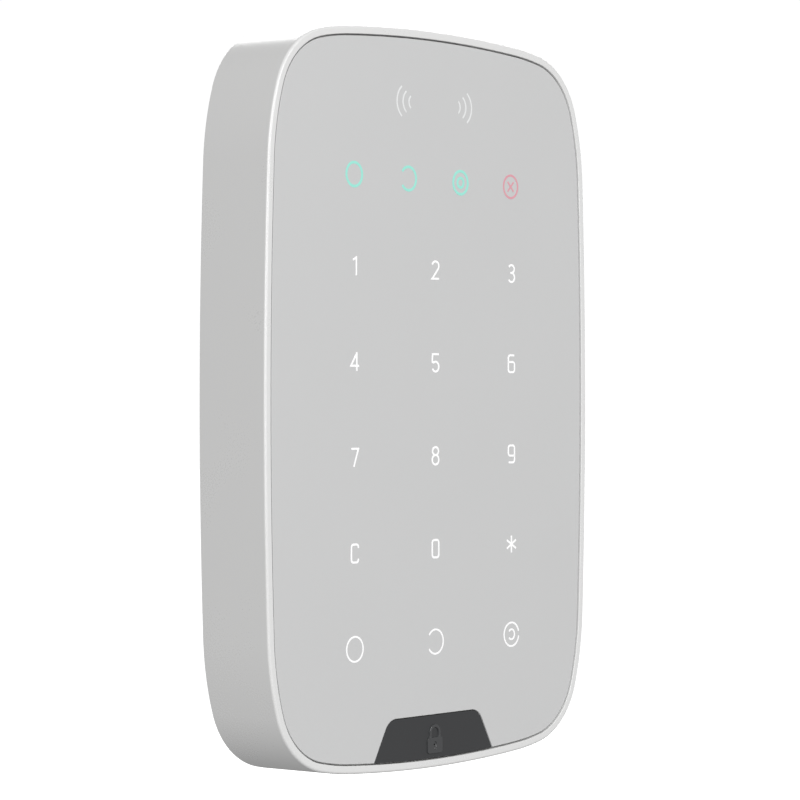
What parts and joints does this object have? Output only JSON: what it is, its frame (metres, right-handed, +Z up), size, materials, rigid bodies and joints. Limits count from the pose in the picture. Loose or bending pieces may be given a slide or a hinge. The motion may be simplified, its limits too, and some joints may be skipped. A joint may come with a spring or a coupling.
{
  "type": "alarm keypad panel",
  "caption": "Slim wall alarm keypad: rounded white housing with a flat grey touch panel, boards, cells and rear cover, sliding down onto the hooks of a wall bracket with a tamper tab.",
  "frame": {"origin": "middle of the outline, on the wall plane at the back of the bracket's cross-bar", "axes": "+Z up the wall, +Y into the wall, +X to the right of someone facing the keypad; the touch panel faces -Y"},
  "size_m": [0.113, 0.02, 0.165],
  "materials": {
    "housing_plastic": "white moulded ABS, very fine satin texture",
    "touch_panel": "flat light grey sheet with a satin hard coat",
    "badge_plastic": "dark grey moulded plastic, satin, with a raised polished symbol",
    "inner_plastic": "plain light grey moulded ABS",
    "adhesive_tape": "black foam tape",
    "circuit_board": "glass fibre board under green solder mask",
    "chip_resin": "black moulded resin",
    "sheet_steel": "nickel-plated sheet, wire and screws",
    "copper_track": "gold-plated track on thin film",
    "cell_sleeve": "printed shrink sleeve over a steel can, no lettering",
    "wire_red": "red insulation",
    "wire_black": "black insulation",
    "led_lens": "clear moulded lens",
    "legend_white": "white backlit legend in the panel",
    "legend_grey": "pale printed wave symbol",
    "legend_teal": "lit teal status icon",
    "legend_red": "lit pink-red status icon"
  },
  "bodies": {
    "bracket": {"mounting_bracket": "housing_plastic"},
    "keypad": {"front_housing": "housing_plastic", "rear_cover": "housing_plastic", "touch_panel": "touch_panel", "front_badge": "badge_plastic", "chassis": "inner_plastic", "battery_socket": "inner_plastic", "battery_plug": "inner_plastic", "panel_adhesive": "adhesive_tape", "touch_board": "circuit_board", "main_board": "circuit_board", "controller_chip": "chip_resin", "reader_chip": "chip_resin", "buzzer": "chip_resin", "board_link": "chip_resin", "power_switch": "chip_resin", "tamper_switch": "chip_resin", "contact_positive": "sheet_steel", "contact_negative": "sheet_steel", "contact_link_upper": "sheet_steel", "contact_link_lower_left": "sheet_steel", "contact_link_lower_right": "sheet_steel", "radio_shield": "sheet_steel", "antenna_left": "sheet_steel", "antenna_right": "sheet_steel", "tamper_spring": "sheet_steel", "locking_screw": "sheet_steel", "cover_screw_1": "sheet_steel", "cover_screw_2": "sheet_steel", "cover_screw_3": "sheet_steel", "cover_screw_4": "sheet_steel", "cover_screw_5": "sheet_steel", "cover_screw_6": "sheet_steel", "chassis_screw_1": "sheet_steel", "chassis_screw_2": "sheet_steel", "chassis_screw_3": "sheet_steel", "chassis_screw_4": "sheet_steel", "board_screw_1": "sheet_steel", "board_screw_2": "sheet_steel", "board_screw_3": "sheet_steel", "board_screw_4": "sheet_steel", "reader_antenna": "copper_track", "battery_1": "cell_sleeve", "battery_2": "cell_sleeve", "battery_3": "cell_sleeve", "battery_4": "cell_sleeve", "battery_lead_positive": "wire_red", "battery_lead_negative": "wire_black", "status_led_1": "led_lens", "status_led_2": "led_lens", "status_led_3": "led_lens", "status_led_4": "led_lens"},
    "power_button": {"power_button": "housing_plastic", "power_switch_plunger": "badge_plastic"},
    "tamper_plunger": {"tamper_plunger": "badge_plastic", "tamper_switch_plunger": "badge_plastic"}
  },
  "joints": [
    {"name": "keypad_slide", "type": "slide", "parent": "bracket", "child": "keypad", "axis": [0, 0, 1], "range_m": [0, 0.005]},
    {"name": "power_press", "type": "slide", "parent": "keypad", "child": "power_button", "axis": [0, -1, 0], "range_m": [0, 0.0005], "stiffness_N_per_m": 800},
    {"name": "tamper_travel", "type": "slide", "parent": "keypad", "child": "tamper_plunger", "axis": [0, 1, 0], "range_m": [0, 0.0008], "deforming": ["tamper_spring"]}
  ],
  "couplings": [
    {"joint": "tamper_travel", "follows": "keypad_slide", "ratio": 0.15}
  ]
}
